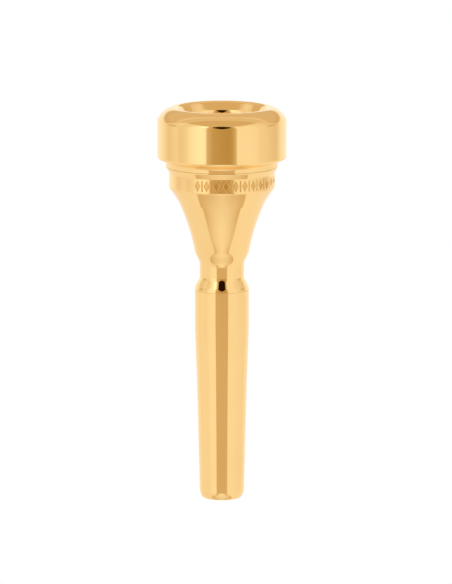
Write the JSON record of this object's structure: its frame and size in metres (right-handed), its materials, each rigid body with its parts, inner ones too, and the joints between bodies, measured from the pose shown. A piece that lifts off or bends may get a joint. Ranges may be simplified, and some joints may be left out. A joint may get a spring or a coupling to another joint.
{
  "type": "brass mouthpiece",
  "caption": "Polished gold-coloured brass instrument mouthpiece with a wide crowned rim ring, engraved band, long cone and tapered shank, built in screwed sections.",
  "frame": {"origin": "centre of the shank's flat end face, on the bore axis", "axes": "+Z along the bore from the shank end to the rim; +X to the right and -Y towards a viewer facing the start of the engraved ornament"},
  "size_m": [0.0284, 0.0284, 0.087],
  "materials": {
    "rim_plate": "polished gold plate on brass",
    "cup_plate": "polished gold plate on brass",
    "shank_plate": "polished gold plate on brass",
    "seal_rubber": "matt nitrile rubber"
  },
  "bodies": {
    "shank": {"shank": "shank_plate"},
    "shank_seal": {"shank_seal": "seal_rubber"},
    "cup": {"cup": "cup_plate"},
    "rim_seal": {"rim_seal": "seal_rubber"},
    "rim": {"rim": "rim_plate"}
  },
  "joints": [
    {"name": "cup_lift", "type": "slide", "parent": "shank", "child": "shank_seal", "axis": [0, 0, 1], "range_m": [0, 0.006]},
    {"name": "cup_turn", "type": "hinge", "parent": "shank_seal", "child": "cup", "pos_m": [0, 0, 0.045], "axis": [0, 0, 1], "range_deg": [0, 2881]},
    {"name": "rim_lift", "type": "slide", "parent": "cup", "child": "rim_seal", "axis": [0, 0, 1], "range_m": [0, 0.004]},
    {"name": "rim_turn", "type": "hinge", "parent": "rim_seal", "child": "rim", "pos_m": [0, 0, 0.076], "axis": [0, 0, 1], "range_deg": [0, 1441]}
  ],
  "couplings": [
    {"joint": "cup_turn", "follows": "cup_lift", "rad_per_m": 8377.6},
    {"joint": "rim_turn", "follows": "rim_lift", "rad_per_m": 6283.2}
  ]
}
